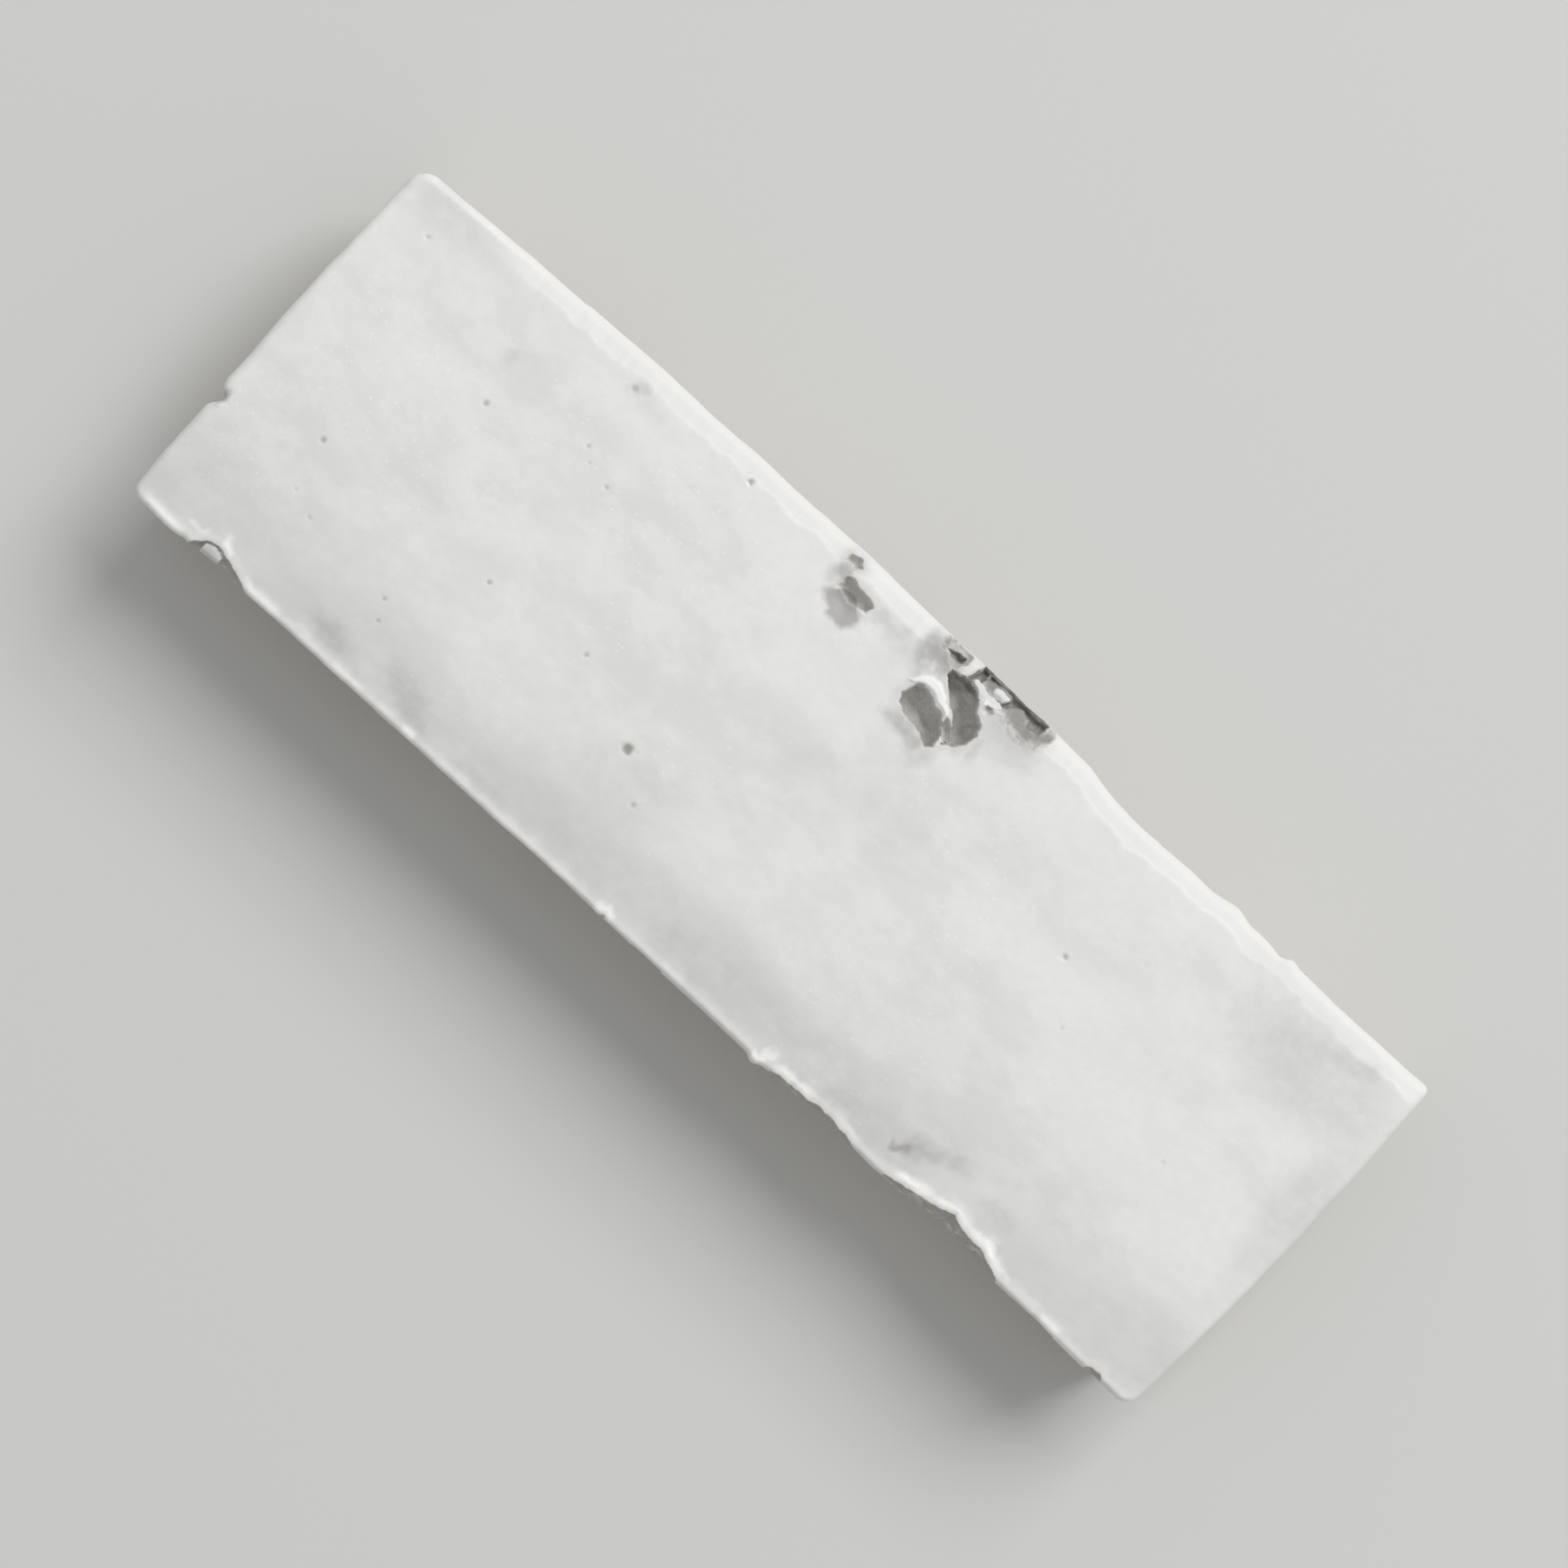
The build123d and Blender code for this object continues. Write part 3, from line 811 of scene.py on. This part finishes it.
class Nodes:
    """Short calls for building a material's node tree."""

    def __init__(self, name):
        self.material = bpy.data.materials.new(name)
        self.material.use_nodes = True
        self.tree = self.material.node_tree
        self.tree.nodes.clear()
        self.place = self.add("ShaderNodeTexCoord").outputs["Object"]

    def add(self, kind, **settings):
        node = self.tree.nodes.new(kind)
        for name, value in settings.items():
            setattr(node, name, value)
        return node

    def join(self, value, socket):
        if isinstance(value, bpy.types.NodeSocket):
            self.tree.links.new(value, socket)
        else:
            socket.default_value = value

    def field(self, name):
        return self.add("ShaderNodeAttribute", attribute_name=name).outputs["Fac"]

    def math(self, operation, first, second):
        node = self.add("ShaderNodeMath", operation=operation)
        self.join(first, node.inputs[0])
        self.join(second, node.inputs[1])
        return node.outputs[0]

    def times(self, first, second):
        return self.math("MULTIPLY", first, second)

    def ramp(self, value, low, high, start=0.0, end=1.0):
        """Value from start to end as it goes from low to high, in an even curve."""
        node = self.add("ShaderNodeMapRange", interpolation_type="SMOOTHSTEP")
        self.join(value, node.inputs["Value"])
        for name, setting in zip(("From Min", "From Max", "To Min", "To Max"), (low, high, start, end)):
            node.inputs[name].default_value = setting
        return node.outputs["Result"]

    def cloud(self, size, detail=3.0, rough=0.5, shift=0.0, stretch=(1, 1, 1)):
        """Noise texture whose bumps are about size millimetres wide."""
        mapping = self.add("ShaderNodeMapping")
        self.join(self.place, mapping.inputs["Vector"])
        mapping.inputs["Location"].default_value = (shift, shift * 0.7, shift * 0.3)
        mapping.inputs["Scale"].default_value = stretch
        node = self.add("ShaderNodeTexNoise")
        self.join(mapping.outputs[0], node.inputs["Vector"])
        node.inputs["Scale"].default_value = 1 / (size * MM)
        node.inputs["Detail"].default_value = detail
        node.inputs["Roughness"].default_value = rough
        return node.outputs["Fac"]

    def specks(self, spacing, reach):
        """1 at scattered small dots, 0 between them."""
        node = self.add("ShaderNodeTexVoronoi")
        self.join(self.place, node.inputs["Vector"])
        node.inputs["Scale"].default_value = 1 / (spacing * MM)
        return self.ramp(node.outputs["Distance"], reach, reach * 0.5)

    def across(self):
        """Place across the tile, in metres from its middle."""
        split = self.add("ShaderNodeSeparateXYZ")
        self.join(self.place, split.inputs[0])
        return split.outputs["Y"]

    def mix(self, share, first, second, kind="RGBA"):
        """First where share is 0 and second where it is 1, as colours or as numbers."""
        node = self.add("ShaderNodeMix", data_type=kind)
        self.join(share, node.inputs["Factor"])
        self.join(first, node.inputs["A"])
        self.join(second, node.inputs["B"])
        return node.outputs["Result"]

    def bump(self, height, distance, under=None):
        """Relief of full strength, distance millimetres high, on what lies under it."""
        node = self.add("ShaderNodeBump")
        node.inputs["Strength"].default_value = 1.0
        node.inputs["Distance"].default_value = distance * MM
        self.join(height, node.inputs["Height"])
        if under is not None:
            self.join(under, node.inputs["Normal"])
        return node.outputs["Normal"]


GLAZE = srgb(227, 227, 226)
GLAZE_LIGHT = srgb(233, 233, 232)
GLAZE_GREY = srgb(218, 218, 217)
GLAZE_PAINTED_SHADE = srgb(194, 194, 193)
GLAZE_SMUDGE_AND_SHADE = srgb(172, 171, 169)
GLAZE_SPECK_AND_HIGHLIGHT = srgb(244, 244, 243)
GLAZE_BAND = srgb(220, 220, 219)
BREAK_PALE = srgb(190, 189, 186)
BREAK_SHADE_GREY = srgb(146, 145, 141)
CHIP_PALE = srgb(210, 207, 200)
CHIP_GREY = srgb(176, 174, 166)
PIT_DARK = srgb(207, 206, 202)
PIT_LIGHT = srgb(219, 218, 214)
# Painted shade of the pinholes
HOLE = srgb(150, 149, 144)
CLAY = srgb(203, 198, 187)
CLAY_DARK = srgb(179, 173, 161)
CLAY_PALE = srgb(217, 213, 204)
CLAY_ROUGHNESS = 0.88
GLAZE_IOR = 1.5


def tile_material():
    """White glaze over pale clay, broken, dirty and painted with shade and highlights where the fields say
    so.
    """
    n = Nodes("glazed_clay")
    glazed, chip, broken, pit = (n.field(name) for name in ("glazed", "chip", "broken", "pit"))
    hole, highlight_and_wear, smudge_and_shade, bevel = (n.field(name) for name in ("hole", "highlight_and_wear", "smudge_and_shade", "bevel"))

    # Glaze colour: broad clouds, small mottles, specks, grey smudges that are partly painted shade, and
    # painted highlights
    clouds = n.ramp(n.cloud(16.0, 5.0, 0.6, 0.31, (0.5, 1, 1)), 0.38, 0.6)
    mottle = n.ramp(n.cloud(5.0, 5.0, 0.65, 0.12, (0.7, 1, 1)), 0.42, 0.6)
    fine = n.ramp(n.cloud(1.3, 3.0, 0.6, 0.45), 0.3, 0.75)
    glaze = n.mix(clouds, GLAZE_GREY, GLAZE)
    glaze = n.mix(n.times(mottle, 0.5), glaze, GLAZE_LIGHT)
    glaze = n.mix(n.times(fine, 0.3), glaze, GLAZE_GREY)
    specks = n.times(n.specks(1.1, 0.18), n.ramp(n.cloud(16.0, 2.0, 0.5, 0.77), 0.45, 0.62))
    glaze = n.mix(n.times(specks, 0.4), glaze, GLAZE_SPECK_AND_HIGHLIGHT)
    patch_grain = n.ramp(n.cloud(1.5, 4.0, 0.65, 0.2), 0.3, 0.62, 0.65, 1.0)
    # Painted shade: the glaze is greyed in patches towards the low side, where the face falls away from the
    # key
    low_side = n.ramp(n.across(), -0.01, -0.022, 0.0, 0.45)
    patchy = n.ramp(n.cloud(9.0, 5.0, 0.65, 0.83, (0.6, 1, 1)), 0.36, 0.62, 0.4, 1.0)
    low_side = n.times(low_side, patchy)
    glaze = n.mix(low_side, glaze, GLAZE_PAINTED_SHADE)
    # Painted shade: the glaze darkens towards and into the pits
    painted_pit_shade = n.times(n.ramp(pit, -1.5, 0.2), 0.42)
    dirt_and_painted_shade = n.times(n.math("MAXIMUM", smudge_and_shade, painted_pit_shade), patch_grain)
    glaze = n.mix(n.times(bevel, 0.8), glaze, GLAZE_BAND)
    glaze = n.mix(n.math("MINIMUM", dirt_and_painted_shade, 1.0), glaze, GLAZE_SMUDGE_AND_SHADE)
    # Painted highlight on the lips, partly pale wear on the low side, and pale streaks
    glaze = n.mix(n.times(highlight_and_wear, 0.9), glaze, GLAZE_SPECK_AND_HIGHLIGHT)
    # Painted shade: the shallow pinholes are greyed as a deeper hole would be shaded
    glaze = n.mix(n.ramp(hole, 0.0, 0.4, 0.0, 0.9), glaze, HOLE)

    # Raw clay of the sides and the back
    patches = n.ramp(n.cloud(14.0, 4.0, 0.6, 0.57), 0.35, 0.66)
    grit = n.cloud(0.7, 4.0, 0.7, 0.9)
    clay = n.mix(patches, CLAY_DARK, CLAY)
    clay = n.mix(n.ramp(grit, 0.52, 0.74), clay, CLAY_PALE)
    clay = n.mix(n.ramp(grit, 0.36, 0.24), clay, CLAY_DARK)

    # Breaks, chips and pits show the body of the tile. The broken stretch is painted greyer than the clay
    # as painted shade, and so are the pits in it and under the grey patches
    crumbs = n.cloud(2.0, 4.0, 0.6, 0.71)
    break_colour = n.mix(n.ramp(crumbs, 0.38, 0.62), BREAK_SHADE_GREY, BREAK_PALE)
    chip_colour = n.mix(n.ramp(crumbs, 0.5, 0.68), CHIP_GREY, CHIP_PALE)
    pit_colour = n.mix(n.ramp(crumbs, 0.4, 0.7), PIT_DARK, PIT_LIGHT)
    # Painted shade in the pits: greyer under the grey patches and in the broken stretch
    pit_colour = n.mix(n.ramp(smudge_and_shade, 0.6, 1.2), pit_colour, GLAZE_SMUDGE_AND_SHADE)
    pit_colour = n.mix(n.ramp(broken, -0.2, 0.6), pit_colour, BREAK_SHADE_GREY)

    edge_noise = n.math("SUBTRACT", n.cloud(0.8, 3.0, 0.6, 0.38), 0.5)

    def reached(value, rough, low, high):
        """1 where a field has passed its border, which noise makes rough."""
        return n.ramp(n.math("ADD", value, n.times(edge_noise, rough)), low, high)

    is_glaze = reached(glazed, 1.2, -0.06, 0.06)
    is_chip = reached(chip, 0.3, 0.0, 0.1)
    is_break = reached(broken, 1.2, -0.15, 0.5)
    is_pit = reached(pit, 0.25, 0.02, 0.2)

    colour = n.mix(is_glaze, clay, glaze)
    colour = n.mix(is_chip, colour, chip_colour)
    colour = n.mix(is_break, colour, break_colour)
    colour = n.mix(is_pit, colour, pit_colour)

    # Gloss: soft on the glaze, none on clay
    bare = n.math("MAXIMUM", n.math("MAXIMUM", is_chip, is_break), is_pit)
    shiny = n.times(is_glaze, n.math("SUBTRACT", 1.0, bare))
    wear = n.ramp(n.cloud(9.0, 4.0, 0.6, 0.66), 0.3, 0.7, 0.26, 0.38)
    wear = n.math("ADD", wear, n.times(dirt_and_painted_shade, 0.4))
    wear = n.math("ADD", wear, n.times(n.math("MAXIMUM", bevel, highlight_and_wear), 0.3))
    rough = n.mix(shiny, CLAY_ROUGHNESS, wear, "FLOAT")

    # Fine relief
    skin = n.bump(n.cloud(2.2, 2.0, 0.5, 0.15), 0.035)
    skin = n.bump(n.cloud(0.35, 2.0, 0.5, 0.52), 0.004, under=skin)
    rough_height = n.times(n.cloud(0.45, 4.0, 0.7, 0.27), n.math("SUBTRACT", 1.0, shiny))
    normal = n.bump(rough_height, 0.16, under=skin)

    shader = n.add("ShaderNodeBsdfPrincipled")
    n.join(colour, shader.inputs["Base Color"])
    n.join(rough, shader.inputs["Roughness"])
    n.join(normal, shader.inputs["Normal"])
    shader.inputs["IOR"].default_value = GLAZE_IOR
    output = n.add("ShaderNodeOutputMaterial")
    n.join(shader.outputs[0], output.inputs["Surface"])
    return n.material


# Sizes and distances in metres, angles in degrees, energy in watts
FLOOR_SIZE = 4.0
FLOOR_COLOUR = srgb(206, 206, 204)
WORLD_FILL = 0.6
WORLD_SEEN = 0.93
KEY_ENERGY = 37.0
KEY_SIZE = 1.25
KEY_DISTANCE = 2.2
KEY_AZIMUTH = 78.0
KEY_ELEVATION = 46.0


def make_floor():
    """Pale floor that the tile lies on."""
    half = FLOOR_SIZE / 2
    corners = [(-half, -half, 0), (half, -half, 0), (half, half, 0), (-half, half, 0)]
    mesh = bpy.data.meshes.new("floor")
    mesh.from_pydata(corners, [], [(0, 1, 2, 3)])
    floor = bpy.data.objects.new("floor", mesh)
    bpy.context.scene.collection.objects.link(floor)
    n = Nodes("floor_white")
    shader = n.add("ShaderNodeBsdfDiffuse")
    shader.inputs["Color"].default_value = FLOOR_COLOUR
    output = n.add("ShaderNodeOutputMaterial")
    n.join(shader.outputs[0], output.inputs["Surface"])
    mesh.materials.append(n.material)
    return floor


def make_world():
    """Even pale light from all round, with a strength of its own for the camera."""
    world = bpy.data.worlds.new("studio")
    world.use_nodes = True
    tree = world.node_tree
    tree.nodes.clear()
    path = tree.nodes.new("ShaderNodeLightPath")
    level = tree.nodes.new("ShaderNodeMix")
    level.data_type = "FLOAT"
    level.inputs["A"].default_value = WORLD_FILL
    level.inputs["B"].default_value = WORLD_SEEN
    back = tree.nodes.new("ShaderNodeBackground")
    output = tree.nodes.new("ShaderNodeOutputWorld")
    tree.links.new(path.outputs["Is Camera Ray"], level.inputs["Factor"])
    tree.links.new(level.outputs["Result"], back.inputs["Strength"])
    tree.links.new(back.outputs[0], output.inputs["Surface"])
    bpy.context.scene.world = world


def make_softbox(name, azimuth, elevation, distance, size, energy):
    """Square lamp that faces the tile, turned from its X axis and raised from the floor."""
    lamp = bpy.data.lights.new(name, "AREA")
    lamp.shape = "SQUARE"
    lamp.size = size
    lamp.energy = energy
    box = bpy.data.objects.new(name, lamp)
    turn, rise = math.radians(azimuth), math.radians(elevation)
    box.location = (
        distance * math.cos(rise) * math.cos(turn),
        distance * math.cos(rise) * math.sin(turn),
        distance * math.sin(rise),
    )
    box.rotation_euler = (math.pi / 2 - rise, 0, turn + math.pi / 2)
    bpy.context.scene.collection.objects.link(box)


# Turn of the tile in the photograph in degrees, width of the view in metres and
# lens in millimetres
PHOTO_TURN = 42.6
VIEW_WIDTH = 0.168
LENS = 100.0


def make_camera():
    """Camera straight above, turned so that the tile lies as in the photograph."""
    data = bpy.data.cameras.new("camera")
    data.lens = LENS
    camera = bpy.data.objects.new("camera", data)
    distance = VIEW_WIDTH * LENS / data.sensor_width
    camera.location = (0, 0, THICKNESS * MM + distance)
    camera.rotation_euler = (0, 0, math.radians(PHOTO_TURN))
    bpy.context.scene.collection.objects.link(camera)
    bpy.context.scene.camera = camera


make_camera()
make_world()
make_softbox("key", KEY_AZIMUTH, KEY_ELEVATION, KEY_DISTANCE, KEY_SIZE, KEY_ENERGY)
bpy.context.scene.view_settings.view_transform = "Standard"

tile = make_tile()
tile.data.materials.append(tile_material())
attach(tile, "root")
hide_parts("tile")
make_floor()
